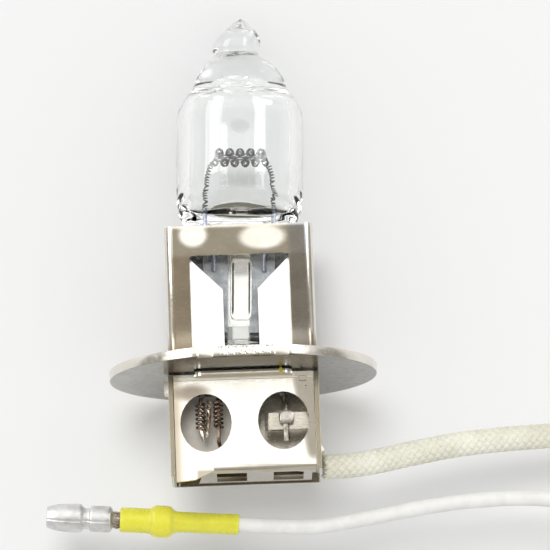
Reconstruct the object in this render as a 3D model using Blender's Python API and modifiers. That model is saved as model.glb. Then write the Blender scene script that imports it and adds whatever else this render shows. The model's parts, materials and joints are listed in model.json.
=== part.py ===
"""Single-filament halogen headlight bulb with a 22 mm flange and a flying lead.

Lengths below are in millimetres, measured from the centre of the flange's reference face, and are
turned into metres when a shape is made.  +Z runs along the lamp's axis towards the glass tip, the
lead leaves the base towards +X and the open side of the holder faces -Y.  The last step moves the
finished lamp forwards by SEAT_POINT_Y, so that the origin is a point on the flange's face.
"""

from math import cos, pi, radians, sin

import bmesh
import bpy
from mathutils import Matrix, Vector

MM = 0.001

# Capsule: a quartz bulb whose lower end is pressed flat round the foils and wires.
CAPSULE_TILT = radians(2.3)      # the capsule leans this much in its holder
CAPSULE_PIVOT_Z = 9.5            # height at which the leaning capsule is centred
BULB_RADIUS = 5.25
CAVITY_RADIUS = 4.15
SEAL_HALF_WIDTH = 4.35
SEAL_HALF_DEPTH = 1.2
SEAL_BOTTOM = 2.15
SEAL_TOP = 11.2
ROUND_BOTTOM = 15.6
TIP_HEIGHT = 29.7
RIB_WIDTH = 1.75
RIB_BOTTOM = 4.1
RIB_TOP = 8.9
RIB_RISE = 0.35

# Filament: a coil across the axis with its legs hanging from both ends.
LIGHT_CENTRE = 17.75
COIL_TURNS = 5
COIL_PITCH = 0.86
COIL_RADIUS = 0.5
COIL_WIRE = 0.33
LEG_WIRE = 0.21
LEG_X = 2.75
LEG_BOTTOM = 13.75

# Wires and foils in the seal.
LEAD_Y = -0.14
INNER_LEAD_RADIUS = 0.17
OUTER_LEAD_RADIUS = 0.25
FOIL_X = 2.1                     # the wires on the foils
FOIL_INNER = 0.9                 # the foils reach from here to FOIL_OUTER
FOIL_OUTER = 2.95
FOIL_THICKNESS = 0.06
FOIL_Y = 0.2
FOIL_BOTTOM = 3.0
FOIL_TOP = 9.6

# Holder: pressed sheet round the seal, on top of the flange.
HOLDER_HALF_WIDTH = 6.1
HOLDER_FRONT_Y = -2.9
HOLDER_TOP = 11.55
HOLDER_FOOT = 0.06
HOLDER_SHEET = 0.4
WINDOW_HALF_WIDTH = 4.1
WINDOW_TOP = 9.06
CLAMP_SHEET = 0.3
CLAMP_HALF_WIDTH = 5.15
CLAMP_HALF_DEPTH = 1.75
CLAMP_TOP = 10.3
CLAMP_BOTTOM = -1.9
THROAT_HALF_WIDTH = 1.43
THROAT_TOP = 6.35

# Flange.
FLANGE_RADIUS = 11.0
FLANGE_THICKNESS = 0.8
FLANGE_FLAT_Y = -10.3
SEAT_POINT_Y = 9.0

# Base box.
BOX_HALF_WIDTH = 6.15
BOX_HALF_DEPTH = 3.1
BOX_TOP = -0.95
BOX_FLOOR = -9.1
BOX_SHEET = 0.38
PORT_X = 3.16
PORT_Z = -4.95
PORT_WIDTH = 4.2
PORT_HEIGHT = 4.8

# Lead.
SLEEVE_RADIUS = 1.06
SLEEVE_BORE = 0.76
WIRE_RADIUS = 0.62
WIRE_BORE = 0.36
CORE_RADIUS = 0.28
OUTLET = Vector((6.2, 1.2, -8.2))
LOOP = Vector((45.8, 5.5, -10.4))
TERMINAL_START = Vector((-16.7, 5.5, -10.9))
TERMINAL_SLOPE = radians(4.3)
BOOT_FRONT = 6.1                 # distance of the boot's front end from the terminal's nose
BOOT_LENGTH = 9.85


# ---------------------------------------------------------------- scene

for old in list(bpy.data.objects):
    bpy.data.objects.remove(old, do_unlink=True)

PARTS = bpy.data.collections.new("headlight_bulb")
CUTTERS = bpy.data.collections.new("cutters")
bpy.context.scene.collection.children.link(PARTS)
bpy.context.scene.collection.children.link(CUTTERS)


def material(name, colour, roughness, metallic, transmission=0.0):
    mat = bpy.data.materials.new(name)
    mat.use_nodes = True
    shader = mat.node_tree.nodes["Principled BSDF"]
    shader.inputs["Base Color"].default_value = (*colour, 1.0)
    shader.inputs["Roughness"].default_value = roughness
    shader.inputs["Metallic"].default_value = metallic
    shader.inputs["Transmission Weight"].default_value = transmission
    return mat


QUARTZ = material("quartz", (0.96, 0.98, 0.99), 0.02, 0.0, 1.0)
TUNGSTEN = material("tungsten", (0.16, 0.15, 0.16), 0.45, 1.0)
MOLYBDENUM = material("molybdenum", (0.42, 0.44, 0.50), 0.35, 1.0)
PLATED_STEEL = material("plated_steel", (0.66, 0.61, 0.53), 0.18, 1.0)
SPRING_STEEL = material("spring_steel", (0.72, 0.71, 0.68), 0.22, 1.0)
COPPER = material("copper", (0.42, 0.20, 0.12), 0.40, 1.0)
SOLDER = material("weld_metal", (0.63, 0.60, 0.56), 0.35, 1.0)
MICA = material("mica", (0.55, 0.50, 0.44), 0.35, 0.0)
FIBREGLASS = material("fibreglass", (0.80, 0.78, 0.71), 0.85, 0.0)
WIRE_COAT = material("wire_coat", (0.83, 0.82, 0.77), 0.55, 0.0)
TINNED_BRASS = material("tinned_brass", (0.74, 0.74, 0.74), 0.28, 1.0)
YELLOW_VINYL = material("yellow_vinyl", (0.86, 0.80, 0.07), 0.40, 0.0)


# ---------------------------------------------------------------- helpers

def place(obj, mat=None, group=PARTS, smooth=35.0):
    group.objects.link(obj)
    if mat:
        obj.data.materials.append(mat)
    if smooth:
        obj.data.shade_smooth()
        obj.data.set_sharp_from_angle(angle=radians(smooth))
    if group is CUTTERS:
        obj.hide_render = True
        obj.display_type = "WIRE"
    return obj


def from_bmesh(name, bm, mat=None, group=PARTS, smooth=35.0):
    mesh = bpy.data.meshes.new(name)
    bm.to_mesh(mesh)
    bm.free()
    return place(bpy.data.objects.new(name, mesh), mat, group, smooth)


def block(name, low, high, mat=None, group=PARTS):
    """A box between two corners."""
    low, high = Vector(low) * MM, Vector(high) * MM
    bm = bmesh.new()
    bmesh.ops.create_cube(bm, size=1.0)
    bmesh.ops.scale(bm, vec=high - low, verts=bm.verts)
    bmesh.ops.translate(bm, vec=(low + high) / 2, verts=bm.verts)
    return from_bmesh(name, bm, mat, group, smooth=None)


def curve_mesh(curve, name, frame=None):
    """The curve's evaluated mesh with its caps welded on, as a loose mesh."""
    guide = bpy.data.objects.new(name + "_curve", curve)
    CUTTERS.objects.link(guide)
    if frame is not None:
        guide.matrix_world = frame
    bpy.context.view_layer.update()
    depsgraph = bpy.context.evaluated_depsgraph_get()
    mesh = bpy.data.meshes.new_from_object(guide.evaluated_get(depsgraph))
    mesh.transform(guide.matrix_world)
    mesh.materials.clear()
    bpy.data.objects.remove(guide, do_unlink=True)
    bm = bmesh.new()
    bm.from_mesh(mesh)
    bmesh.ops.remove_doubles(bm, verts=bm.verts, dist=1e-7)
    bmesh.ops.recalc_face_normals(bm, faces=bm.faces)
    bm.to_mesh(mesh)
    bm.free()
    mesh.name = name
    return mesh


UPRIGHT = Matrix.Rotation(pi / 2, 4, "X")    # sends a flat outline's Y to +Z and its Z to -Y


def flat(name, outlines, low, high, mat=None, group=PARTS, upright=True, smooth=35.0):
    """A flat outline (with holes) given thickness: upright spans y low..high, else z low..high."""
    curve = bpy.data.curves.new(name, "CURVE")
    curve.dimensions = "2D"
    curve.fill_mode = "BOTH"
    curve.extrude = (high - low) / 2 * MM
    for outline in outlines:
        spline = curve.splines.new("POLY")
        spline.points.add(len(outline) - 1)
        for point, (a, b) in zip(spline.points, outline):
            point.co = (a * MM, b * MM, 0.0, 1.0)
        spline.use_cyclic_u = True
    middle = (low + high) / 2 * MM
    if upright:
        frame = Matrix.Translation((0.0, middle, 0.0)) @ UPRIGHT
    else:
        frame = Matrix.Translation((0.0, 0.0, middle))
    mesh = curve_mesh(curve, name, frame)
    return place(bpy.data.objects.new(name, mesh), mat, group, smooth)


def rounded(points, radius, steps=5):
    """An open path with its inner corners turned into arcs."""
    points = [Vector(p) for p in points]
    path = [points[0]]
    for before, corner, after in zip(points, points[1:], points[2:]):
        back = (before - corner).normalized()
        ahead = (after - corner).normalized()
        half = back.angle(ahead) / 2
        reach = radius * cos(half) / sin(half)
        centre = corner + (back + ahead).normalized() * radius / sin(half)
        first = corner + back * reach - centre
        last = corner + ahead * reach - centre
        for i in range(steps + 1):
            t = i / steps
            path.append(centre + (first * (1 - t) + last * t).normalized() * radius)
    path.append(points[-1])
    return path


def sheet(name, path, thickness, z_low, z_high, mat=None, group=PARTS):
    """A strip of sheet metal standing on edge: a bent path seen from above, given a thickness."""
    path = [Vector(p) for p in path]
    left, right = [], []
    for i, point in enumerate(path):
        ahead = (path[min(i + 1, len(path) - 1)] - point)
        behind = (point - path[max(i - 1, 0)])
        run = (ahead.normalized() + behind.normalized()).normalized()
        side = Vector((-run.y, run.x))
        spread = max(ahead.normalized().dot(run) if ahead.length else behind.normalized().dot(run), 0.5)
        left.append(point + side * thickness / 2 / spread)
        right.append(point - side * thickness / 2 / spread)
    outline = [tuple(p) for p in left + right[::-1]]
    return flat(name, [outline], z_low, z_high, mat, group, upright=False)


def strip(name, path, thickness, x_low, x_high, mat=None, group=PARTS):
    """Sheet metal bent about X: a path of (y, z) points given a thickness and a width along X."""
    obj = sheet(name, path, thickness, x_low, x_high, mat, group)
    turn = Matrix(((0.0, 0.0, 1.0, 0.0), (1.0, 0.0, 0.0, 0.0), (0.0, 1.0, 0.0, 0.0), (0.0, 0.0, 0.0, 1.0)))
    obj.data.transform(turn)
    return obj


def oval(x, z, width, height, steps=28):
    return [
        (x + width / 2 * cos(2 * pi * i / steps), z + height / 2 * sin(2 * pi * i / steps))
        for i in range(steps)
    ]


def soft_rectangle(x0, x1, z0, z1, radius, steps=4):
    """A rectangle with rounded corners, counterclockwise."""
    corners = ((x1 - radius, z0 + radius, -90), (x1 - radius, z1 - radius, 0),
               (x0 + radius, z1 - radius, 90), (x0 + radius, z0 + radius, 180))
    return [
        (cx + radius * cos(radians(start + 90 * i / steps)),
         cz + radius * sin(radians(start + 90 * i / steps)))
        for cx, cz, start in corners
        for i in range(steps + 1)
    ]


def smooth_path(points, per_span=4):
    """A Catmull-Rom curve through the points."""
    points = [Vector(p) for p in points]
    ends = [2 * points[0] - points[1], *points, 2 * points[-1] - points[-2]]
    path = []
    for a, b, c, d in zip(ends, ends[1:], ends[2:], ends[3:]):
        for i in range(per_span):
            t = i / per_span
            path.append(0.5 * (2 * b + (c - a) * t + (2 * a - 5 * b + 4 * c - d) * t ** 2
                               + (3 * b - a - 3 * c + d) * t ** 3))
    path.append(points[-1])
    return path


def wire(name, points, radius, mat=None, group=PARTS, taper=None, resolution=2, caps=True):
    """A round wire along a path; taper gives the radius factor at each point."""
    curve = bpy.data.curves.new(name, "CURVE")
    curve.dimensions = "3D"
    curve.bevel_depth = radius * MM
    curve.bevel_resolution = resolution
    curve.use_fill_caps = caps
    curve.twist_mode = "MINIMUM"
    spline = curve.splines.new("POLY")
    spline.points.add(len(points) - 1)
    for i, point in enumerate(points):
        spline.points[i].co = (*(Vector(point) * MM), 1.0)
        spline.points[i].radius = taper[i] if taper else 1.0
    mesh = curve_mesh(curve, name)
    return place(bpy.data.objects.new(name, mesh), mat, group, 60.0)


def tube(name, points, outer, bore, mat=None, resolution=4):
    """A hollow tube along a path: an open skin thickened inwards."""
    obj = wire(name, points, outer, mat, resolution=resolution, caps=False)
    thick = obj.modifiers.new("Wall", "SOLIDIFY")
    thick.thickness = (outer - bore) * MM
    thick.offset = -1.0
    thick.use_even_offset = True
    return obj


def turned(name, profile, mat=None, group=PARTS, steps=32, frame=None):
    """A profile of (radius, height) pairs, top to bottom down its outer side, turned about Z."""
    mesh = bpy.data.meshes.new(name)
    verts = [(r * MM, 0.0, z * MM) for r, z in profile]
    mesh.from_pydata(verts, [(i, i + 1) for i in range(len(verts) - 1)], [])
    obj = bpy.data.objects.new(name, mesh)
    place(obj, mat, group, smooth=None)
    screw = obj.modifiers.new("Turn", "SCREW")
    screw.steps = steps
    screw.render_steps = steps
    screw.use_merge_vertices = True
    screw.merge_threshold = 1e-7
    if frame is not None:
        obj.matrix_world = frame
    return obj


def loft(name, sections, mat=None, group=PARTS, count=36):
    """A skin through flattened-round sections (z, half width, half depth, squareness)."""
    bm = bmesh.new()
    rings = []
    for z, wide, deep, power in sections:
        ring = []
        for i in range(count):
            c, s = cos(2 * pi * (i + 0.5) / count), sin(2 * pi * (i + 0.5) / count)
            x = wide * abs(c) ** (2 / power) * (1 if c > 0 else -1)
            y = deep * abs(s) ** (2 / power) * (1 if s > 0 else -1)
            ring.append(bm.verts.new((x * MM, y * MM, z * MM)))
        rings.append(ring)
    for lower, upper in zip(rings, rings[1:]):
        for i in range(count):
            j = (i + 1) % count
            bm.faces.new((lower[i], lower[j], upper[j], upper[i]))
    bm.faces.new(rings[0][::-1])
    bm.faces.new(rings[-1])
    bmesh.ops.recalc_face_normals(bm, faces=bm.faces)
    return from_bmesh(name, bm, mat, group, 50.0)


def combine(obj, other, operation):
    """Joins another shape to the piece, or takes it away, and parks that shape with the cutters."""
    mod = obj.modifiers.new(operation.title(), "BOOLEAN")
    mod.operation = operation
    mod.object = other
    mod.solver = "EXACT"
    if other.name not in CUTTERS.objects:
        for group in list(other.users_collection):
            group.objects.unlink(other)
        CUTTERS.objects.link(other)
    other.hide_render = True
    other.display_type = "WIRE"


def cut(obj, cutter):
    combine(obj, cutter, "DIFFERENCE")


def join(obj, other):
    combine(obj, other, "UNION")


def empty(name, at, parent=None):
    guide = bpy.data.objects.new(name, None)
    guide.empty_display_size = 2 * MM
    PARTS.objects.link(guide)
    guide.location = Vector(at) * MM
    if parent:
        guide.parent = parent
        guide.location -= parent.matrix_world.translation
    bpy.context.view_layer.update()
    return guide


def hang(obj, parent):
    """Puts a piece made in place under an empty, with its origin on that empty."""
    obj.data.transform(Matrix.Translation(-parent.matrix_world.translation) @ obj.matrix_world)
    obj.matrix_world = Matrix.Identity(4)
    obj.parent = parent
    return obj


# ---------------------------------------------------------------- capsule

# Everything of the capsule is made upright and leans with this empty.
LEAN = empty("capsule_axis", (0.0, 0.0, CAPSULE_PIVOT_Z))


def lean(obj):
    return hang(obj, LEAN)


envelope = loft("glass_envelope", [
    (SEAL_BOTTOM, SEAL_HALF_WIDTH - 0.1, SEAL_HALF_DEPTH - 0.15, 7.0),
    (SEAL_BOTTOM + 0.25, SEAL_HALF_WIDTH, SEAL_HALF_DEPTH, 7.0),
    (SEAL_TOP, SEAL_HALF_WIDTH, SEAL_HALF_DEPTH, 7.0),
    (SEAL_TOP + 0.55, SEAL_HALF_WIDTH + 0.2, 1.45, 4.2),
    (12.5, 4.85, 2.2, 3.2),
    (13.3, 5.1, 3.2, 2.6),
    (14.1, 5.2, 4.15, 2.3),
    (14.9, BULB_RADIUS, 4.85, 2.1),
    (ROUND_BOTTOM, BULB_RADIUS, BULB_RADIUS, 2.0),
    (20.5, BULB_RADIUS, BULB_RADIUS, 2.0),
    (21.5, 5.17, 5.17, 2.0),
    (22.3, 4.84, 4.84, 2.0),
    (23.0, 4.38, 4.38, 2.0),
    (23.6, 3.98, 3.98, 2.0),
    (24.1, 3.78, 3.78, 2.0),
    (24.6, 3.6, 3.6, 2.0),
    (25.1, 3.3, 3.3, 2.0),
    (25.65, 2.86, 2.86, 2.0),
    (26.1, 2.4, 2.4, 2.0),
    (26.35, 2.12, 2.12, 2.0),
    (26.5, 1.86, 1.86, 2.0),
    (26.65, 1.84, 1.84, 2.0),
    (26.95, 1.97, 1.97, 2.0),
    (27.6, 1.93, 1.93, 2.0),
    (28.1, 1.7, 1.7, 2.0),
    (28.6, 1.3, 1.3, 2.0),
    (29.1, 0.84, 0.84, 2.0),
    (29.5, 0.42, 0.42, 2.0),
    (TIP_HEIGHT, 0.14, 0.14, 2.0),
], QUARTZ)

for side in (-1, 1):
    rib = flat("seal_rib", [soft_rectangle(-RIB_WIDTH / 2, RIB_WIDTH / 2, RIB_BOTTOM, RIB_TOP, 0.6)],
               SEAL_HALF_DEPTH - 0.4, SEAL_HALF_DEPTH + RIB_RISE, group=CUTTERS)
    if side < 0:
        rib.data.transform(Matrix.Rotation(pi, 4, "Z"))
    join(envelope, lean(rib))

cavity = loft("capsule_cavity", [
    (13.35, 3.5, 0.4, 2.4),
    (13.6, 3.8, 1.2, 2.4),
    (14.1, 4.0, 2.3, 2.2),
    (14.8, 4.1, 3.3, 2.1),
    (15.8, CAVITY_RADIUS, CAVITY_RADIUS, 2.0),
    (21.0, CAVITY_RADIUS, CAVITY_RADIUS, 2.0),
    (21.9, 4.0, 4.0, 2.0),
    (22.5, 3.65, 3.65, 2.0),
    (22.85, 3.1, 3.1, 2.0),
    (22.95, 2.4, 2.4, 2.0),
    (23.0, 1.8, 1.8, 2.0),
    (23.2, 1.55, 1.55, 2.0),
    (23.6, 1.35, 1.35, 2.0),
    (23.9, 1.0, 1.0, 2.0),
    (24.1, 0.5, 0.5, 2.0),
    (24.15, 0.2, 0.2, 2.0),
], group=CUTTERS)
cut(lean(envelope), lean(cavity))


def spread(x_from, x_to, t):
    return x_from + (x_to - x_from) * t


for side, word in ((-1, "left"), (1, "right")):
    # The bore for the inner lead, the slot for the foil and the bore for the outer lead meet.
    upper = [(side * LEG_X, LEAD_Y, 13.65), (side * LEG_X, LEAD_Y, 11.6), (side * 2.4, LEAD_Y, 10.2),
             (side * FOIL_X, LEAD_Y, 9.2), (side * FOIL_X, LEAD_Y, 7.9)]
    cut(envelope, lean(wire("bore_upper_" + word, smooth_path(upper, 3), INNER_LEAD_RADIUS + 0.06,
                            group=CUTTERS)))
    edges = sorted((side * FOIL_INNER, side * FOIL_OUTER))
    slot = block("slot_" + word, (edges[0] - 0.06, FOIL_Y - 0.16, FOIL_BOTTOM - 0.1),
                 (edges[1] + 0.06, FOIL_Y + 0.09, FOIL_TOP + 0.1), group=CUTTERS)
    cut(envelope, lean(slot))
    lower = [(side * FOIL_X, LEAD_Y, 4.75), (side * FOIL_X, LEAD_Y, 0.9)]
    cut(envelope, lean(wire("bore_lower_" + word, lower, OUTER_LEAD_RADIUS + 0.07, group=CUTTERS)))

    inner = upper[1:-1] + [(side * FOIL_X, LEAD_Y, 8.1)]
    inner = [(side * LEG_X, LEAD_Y, LEG_BOTTOM - 0.12)] + inner
    lean(wire("inner_lead_" + word, smooth_path(inner, 3), INNER_LEAD_RADIUS, TUNGSTEN))
    lean(block("foil_" + word, (edges[0], FOIL_Y - FOIL_THICKNESS / 2, FOIL_BOTTOM),
               (edges[1], FOIL_Y + FOIL_THICKNESS / 2, FOIL_TOP), MOLYBDENUM))

# The filament: leg, five turns across the axis, leg, all one wire.
half_coil = COIL_TURNS * COIL_PITCH / 2
coil = []
steps_per_turn = 14
for i in range(COIL_TURNS * steps_per_turn + 1):
    turn = i / steps_per_turn
    angle = 2 * pi * turn - pi / 2
    coil.append((-half_coil + COIL_PITCH * turn,
                 COIL_RADIUS * cos(angle),
                 LIGHT_CENTRE + COIL_RADIUS * sin(angle)))
left_leg = smooth_path([(-LEG_X, LEAD_Y, LEG_BOTTOM), (-LEG_X, LEAD_Y, 14.6), (-LEG_X + 0.06, -0.1, 16.0),
                        (-half_coil - 0.27, -0.06, LIGHT_CENTRE - 0.72)], 3)
right_leg = [Vector((-p.x, p.y, p.z)) for p in left_leg][::-1]
filament_path = left_leg + coil + right_leg
filament_taper = ([LEG_WIRE / COIL_WIRE] * (len(left_leg) - 1) + [0.9]
                  + [1.0] * len(coil) + [0.9] + [LEG_WIRE / COIL_WIRE] * (len(right_leg) - 1))
lean(wire("filament", filament_path, COIL_WIRE, TUNGSTEN, taper=filament_taper))


# ---------------------------------------------------------------- outer leads

def leaned(point):
    """Where a point of the upright capsule lies once the capsule leans."""
    pivot = Vector((0.0, 0.0, CAPSULE_PIVOT_Z))
    return pivot + Matrix.Rotation(CAPSULE_TILT, 3, "Y") @ (Vector(point) - pivot)


GROUND_WIRE_Y = -1.95
ground_path = ([leaned((FOIL_X, LEAD_Y, 4.6)), leaned((FOIL_X, LEAD_Y, 1.2))]
               + smooth_path([(1.9, -0.25, 0.2), (2.3, -0.45, -1.0), (3.05, -1.0, -2.3),
                              (3.37, -1.7, -3.2), (3.37, GROUND_WIRE_Y, -3.9)], 3)
               + [Vector((3.37, GROUND_WIRE_Y, -6.5))])
wire("outer_lead_ground", ground_path, OUTER_LEAD_RADIUS, MOLYBDENUM)

live_path = ([leaned((-FOIL_X, LEAD_Y, 4.6)), leaned((-FOIL_X, LEAD_Y, 1.2))]
             + smooth_path([(-2.45, -0.25, 0.2), (-2.75, -0.5, -1.0), (-3.3, -1.2, -2.2),
                            (-3.6, -1.6, -3.0), (-3.6, -1.6, -4.2), (-3.58, -1.6, -5.4),
                            (-3.4, -1.6, -6.25)], 3))
live_taper = [1.0, 1.0] + [0.62] * (len(live_path) - 5) + [0.6, 0.4, 0.15]
live_taper[2] = 0.9
live_taper[3] = 0.75
wire("outer_lead_live", live_path, OUTER_LEAD_RADIUS, MOLYBDENUM, taper=live_taper)

LEAN.rotation_euler = (0.0, CAPSULE_TILT, 0.0)


# ---------------------------------------------------------------- holder

half = HOLDER_HALF_WIDTH - HOLDER_SHEET / 2
front_path = rounded([(-half, 2.4), (-half, HOLDER_FRONT_Y + HOLDER_SHEET / 2),
                      (half, HOLDER_FRONT_Y + HOLDER_SHEET / 2), (half, 2.4)], 0.5)
holder_front = sheet("holder_front", front_path, HOLDER_SHEET, HOLDER_FOOT, HOLDER_TOP, PLATED_STEEL)
cut(holder_front, flat("window_cutter",
                       [soft_rectangle(-WINDOW_HALF_WIDTH, WINDOW_HALF_WIDTH, -2.0, WINDOW_TOP, 0.3)],
                       HOLDER_FRONT_Y - 0.6, -2.0, group=CUTTERS))

half = HOLDER_HALF_WIDTH - HOLDER_SHEET - 0.1 - 0.175
rear_path = rounded([(-half, -1.9), (-half, 2.2), (half, 2.2), (half, -1.9)], 0.45)
holder_rear = sheet("holder_rear", rear_path, 0.35, HOLDER_FOOT, HOLDER_TOP - 0.1, PLATED_STEEL)
# A rounded tongue leans back from the rear wall and cradles the bulb's shoulder.
arch = [(2.6 * cos(pi * i / 18), 3.0 * sin(pi * i / 18)) for i in range(19)]
arch = [(-2.6, -0.9), (2.6, -0.9)] + arch
tongue = flat("tongue", [arch], -0.17, 0.17, group=CUTTERS)
tongue.data.transform(Matrix.Translation((0.0, 2.85 * MM, 12.05 * MM)) @ Matrix.Rotation(radians(-42), 4, "X"))
join(holder_rear, tongue)

half = CLAMP_HALF_WIDTH - CLAMP_SHEET / 2
deep = CLAMP_HALF_DEPTH - CLAMP_SHEET / 2
clamp_path = rounded([(-THROAT_HALF_WIDTH, -deep), (-half, -deep), (-half, deep),
                      (half, deep), (half, -deep), (THROAT_HALF_WIDTH, -deep)], 0.35, 4)
pinch_clamp = sheet("pinch_clamp", clamp_path, CLAMP_SHEET, CLAMP_BOTTOM, CLAMP_TOP, SPRING_STEEL)
reach = CLAMP_TOP + 0.6 - THROAT_TOP
cut(pinch_clamp, flat("throat_cutter",
                      [[(-THROAT_HALF_WIDTH, THROAT_TOP), (THROAT_HALF_WIDTH, THROAT_TOP),
                        (THROAT_HALF_WIDTH + reach, THROAT_TOP + reach),
                        (-THROAT_HALF_WIDTH - reach, THROAT_TOP + reach)]],
                      -2.6, -1.1, group=CUTTERS))

# The rear wall is slotted for the rib on the back of the seal.
cut(pinch_clamp, block("rear_slot_cutter", (-1.15, 1.2, RIB_BOTTOM - 0.4), (1.15, 2.1, CLAMP_TOP + 1.0),
                       group=CUTTERS))


# ---------------------------------------------------------------- flange

bm = bmesh.new()
bmesh.ops.create_cone(bm, cap_ends=True, segments=96, radius1=FLANGE_RADIUS * MM,
                      radius2=FLANGE_RADIUS * MM, depth=FLANGE_THICKNESS * MM)
bmesh.ops.translate(bm, vec=(0.0, 0.0, -FLANGE_THICKNESS / 2 * MM), verts=bm.verts)
flange = from_bmesh("flange_disc", bm, PLATED_STEEL, smooth=30.0)
cut(flange, block("flat_cutter", (-6.0, -13.0, -2.0), (6.0, FLANGE_FLAT_Y, 1.0), group=CUTTERS))
cut(flange, flat("opening_cutter", [soft_rectangle(-5.4, 5.4, -2.0, 2.0, 0.4)], -1.5, 0.7,
                 group=CUTTERS, upright=False))
# Two relief notches flank the sheared middle of the front edge.
for low, high in ((-3.6, -2.4), (2.6, 3.7)):
    cut(flange, block("relief_cutter", (low, -11.0, -2.0), (high, FLANGE_FLAT_Y + 0.55, 1.0), group=CUTTERS))
edge = flange.modifiers.new("Rim", "BEVEL")
edge.width = 0.07 * MM
edge.segments = 2
edge.limit_method = "ANGLE"
edge.angle_limit = radians(40)


# ---------------------------------------------------------------- base box

half = BOX_HALF_WIDTH - BOX_SHEET / 2
deep = BOX_HALF_DEPTH - BOX_SHEET / 2
housing_path = rounded([(-half, -BOX_HALF_DEPTH), (-half, deep), (half, deep), (half, -BOX_HALF_DEPTH)], 0.5)
housing = sheet("base_housing", housing_path, BOX_SHEET, BOX_FLOOR - 0.12, BOX_TOP, PLATED_STEEL)
# The right wall stops short above the outlet, and the wall behind the floor flap is a little shorter.
cut(housing, block("outlet_cutter", (5.0, -0.35, -11.0), (7.0, 2.75, -6.85), group=CUTTERS))
cut(housing, block("right_foot_cutter", (5.0, -4.0, -11.0), (7.0, 0.2, -8.95), group=CUTTERS))
join(housing, block("side_lug", (-6.5, -2.3, -2.3), (-5.9, -1.0, -1.25), group=CUTTERS))
flare = block("outlet_flare", (-0.17, -0.3, -0.45), (0.17, 2.6, 0.35), group=CUTTERS)
flare.data.transform(Matrix.Translation((6.12 * MM, 0.0, -6.75 * MM)) @ Matrix.Rotation(radians(-28), 4, "Y"))
join(housing, flare)

# The cover is one strip, bent forwards under the flange and back under the floor.
cover_half = BOX_HALF_WIDTH - BOX_SHEET - 0.06
wall_y = -BOX_HALF_DEPTH + BOX_SHEET / 2
lip_z = BOX_TOP - BOX_SHEET / 2
floor_z = BOX_FLOOR + BOX_SHEET / 2
cover = strip("base_cover", rounded([(-4.75, lip_z), (wall_y, lip_z), (wall_y, floor_z), (2.55, floor_z)], 0.3),
              BOX_SHEET, -cover_half, cover_half, PLATED_STEEL)
# The lip is narrower than the wall and its ends are round.
corner = [(3.2 + 0.8 * cos(pi / 2 * i / 5), -3.98 - 0.8 * sin(pi / 2 * i / 5)) for i in range(6)]
notch = [(4.0, -3.2)] + corner + [(-x, y) for x, y in corner[::-1]] + [(-4.0, -3.2)]
lip_cutter = flat("lip_cutter", [[(-7.0, -3.2), (-7.0, -6.0), (7.0, -6.0), (7.0, -3.2)] + notch],
                  BOX_TOP - 0.8, BOX_TOP + 0.5, group=CUTTERS, upright=False)
cut(cover, lip_cutter)
# The floor flap starts short of the left corner, where the wall hangs lower instead.
cut(cover, flat("flap_end_cutter", [[(-7.0, -2.72), (-3.55, -2.72), (-4.1, 4.0), (-7.0, 4.0)]],
                BOX_FLOOR - 0.5, BOX_FLOOR + 0.9, group=CUTTERS, upright=False))
cut(cover, flat("flap_right_cutter", [[(5.35, -2.6), (7.0, -2.6), (7.0, 4.0), (5.35, 4.0)]],
                BOX_FLOOR - 0.5, BOX_FLOOR + 0.9, group=CUTTERS, upright=False))
join(cover, flat("cover_corner", [[(-cover_half, -9.75), (-4.2, -9.6), (-3.3, -9.22), (-2.6, -8.9),
                                   (-2.9, -8.2), (-cover_half, -8.2)]],
                 -BOX_HALF_DEPTH, -BOX_HALF_DEPTH + BOX_SHEET, group=CUTTERS))
for side, word in ((-1, "left"), (1, "right")):
    cut(cover, flat("port_" + word, [oval(side * PORT_X, PORT_Z, PORT_WIDTH, PORT_HEIGHT)],
                    -4.0, -2.0, group=CUTTERS))
for x in (-2.43, 2.2):
    cut(cover, block("floor_slot", (x, -2.55, BOX_FLOOR - 0.5), (x + 2.45, 1.5, BOX_FLOOR + 0.8), group=CUTTERS))

block("insulator_card", (-5.55, 0.62, -8.5), (-0.4, 0.84, -2.1), MICA)

strap_path = rounded([(5.5, -1.5), (1.75, -1.5), (1.75, -0.9), (3.1, -0.9)], 0.27)
sheet("ground_strap", strap_path, 0.28, -5.45, -4.05, PLATED_STEEL)

bm = bmesh.new()
bmesh.ops.create_uvsphere(bm, u_segments=20, v_segments=12, radius=1.0)
bmesh.ops.scale(bm, vec=Vector((0.62, 0.52, 0.55)) * MM, verts=bm.verts)
bmesh.ops.translate(bm, vec=Vector((3.42, -1.9, -4.5)) * MM, verts=bm.verts)
nugget = from_bmesh("weld_nugget", bm, SOLDER, smooth=60.0)
cut(nugget, wire("nugget_groove", [(3.37, GROUND_WIRE_Y, -3.0), (3.37, GROUND_WIRE_Y, -6.0)],
                 OUTER_LEAD_RADIUS + 0.03, group=CUTTERS))
cut(nugget, block("nugget_back", (2.0, GROUND_WIRE_Y + 0.04, -6.0), (5.0, 0.0, -3.0), group=CUTTERS))


# ---------------------------------------------------------------- splice behind the left port

def spring(name, x, y, z_top, turns, pitch, radius, thickness, mat, hand=1):
    """A close-wound helix standing on Z."""
    points = []
    per_turn = 12
    for i in range(turns * per_turn + 1):
        t = i / per_turn
        points.append((x + radius * cos(2 * pi * t), y + hand * radius * sin(2 * pi * t), z_top - pitch * t))
    return wire(name, points, thickness, mat, resolution=1)


spring("splice_wrap_left", -3.6, -1.6, -3.1, 6, 0.36, 0.32, 0.11, COPPER)
spring("splice_wrap_right", -2.16, -1.6, -2.95, 6, 0.36, 0.33, 0.11, COPPER, hand=-1)

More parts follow.
